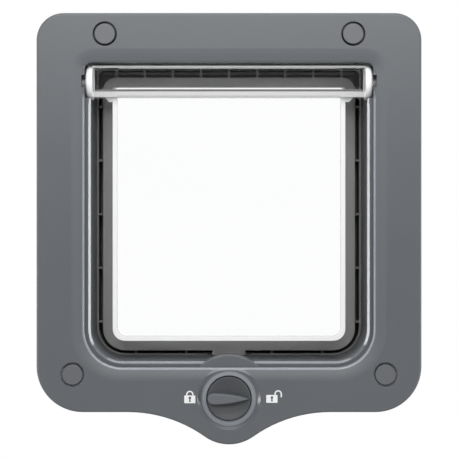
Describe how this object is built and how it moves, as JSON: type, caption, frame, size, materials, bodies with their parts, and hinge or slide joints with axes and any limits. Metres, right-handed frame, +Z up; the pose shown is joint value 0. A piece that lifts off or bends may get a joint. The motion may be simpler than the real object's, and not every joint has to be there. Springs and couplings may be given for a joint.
{
  "type": "cat flap",
  "caption": "Door-mounted cat flap with grey moulded frames, a clear swinging flap and a turning lock knob that lifts a forked bolt.",
  "frame": {"origin": "centre of the passage, in the plane where the inner frame bears on the door's room side", "axes": "-Y towards the room, +Y out through the door, +X to the right seen from the room, +Z up"},
  "size_m": [0.236, 0.0625, 0.2645],
  "materials": {
    "frame_plastic": "satin",
    "outer_plastic": "satin",
    "clear_plastic": "clear gloss",
    "knob_plastic": "satin",
    "cap_plastic": "satin",
    "inner_plastic": "satin",
    "steel": "zinc plated"
  },
  "bodies": {
    "frame": {"inner_frame": "frame_plastic", "outer_frame": "outer_plastic", "lock_cover": "frame_plastic", "frame_screw_1": "steel", "frame_screw_2": "steel", "frame_screw_3": "steel", "frame_screw_4": "steel", "screw_cap_1": "cap_plastic", "screw_cap_2": "cap_plastic", "screw_cap_3": "cap_plastic", "screw_cap_4": "cap_plastic", "cover_screw_1": "steel", "cover_screw_2": "steel", "cover_screw_3": "steel", "cover_screw_4": "steel"},
    "flap": {"flap": "clear_plastic"},
    "knob": {"lock_knob": "knob_plastic", "cam_disc": "inner_plastic", "knob_washer": "steel", "knob_screw": "steel"},
    "bolt": {"lock_bolt": "inner_plastic"}
  },
  "joints": [
    {"name": "flap_swing", "type": "hinge", "parent": "frame", "child": "flap", "pos_m": [0, 0, 0.0812], "axis": [1, 0, 0], "range_deg": [-85, 77]},
    {"name": "knob_turn", "type": "hinge", "parent": "frame", "child": "knob", "pos_m": [0, -0.0125, -0.1133], "axis": [0, -1, 0], "range_deg": [0, 180]},
    {"name": "bolt_lift", "type": "slide", "parent": "frame", "child": "bolt", "axis": [0, 0, 1], "range_m": [0, 0.0123]}
  ],
  "couplings": [
    {"joint": "bolt_lift", "follows": "knob_turn", "m_per_rad": 0.0039152}
  ]
}
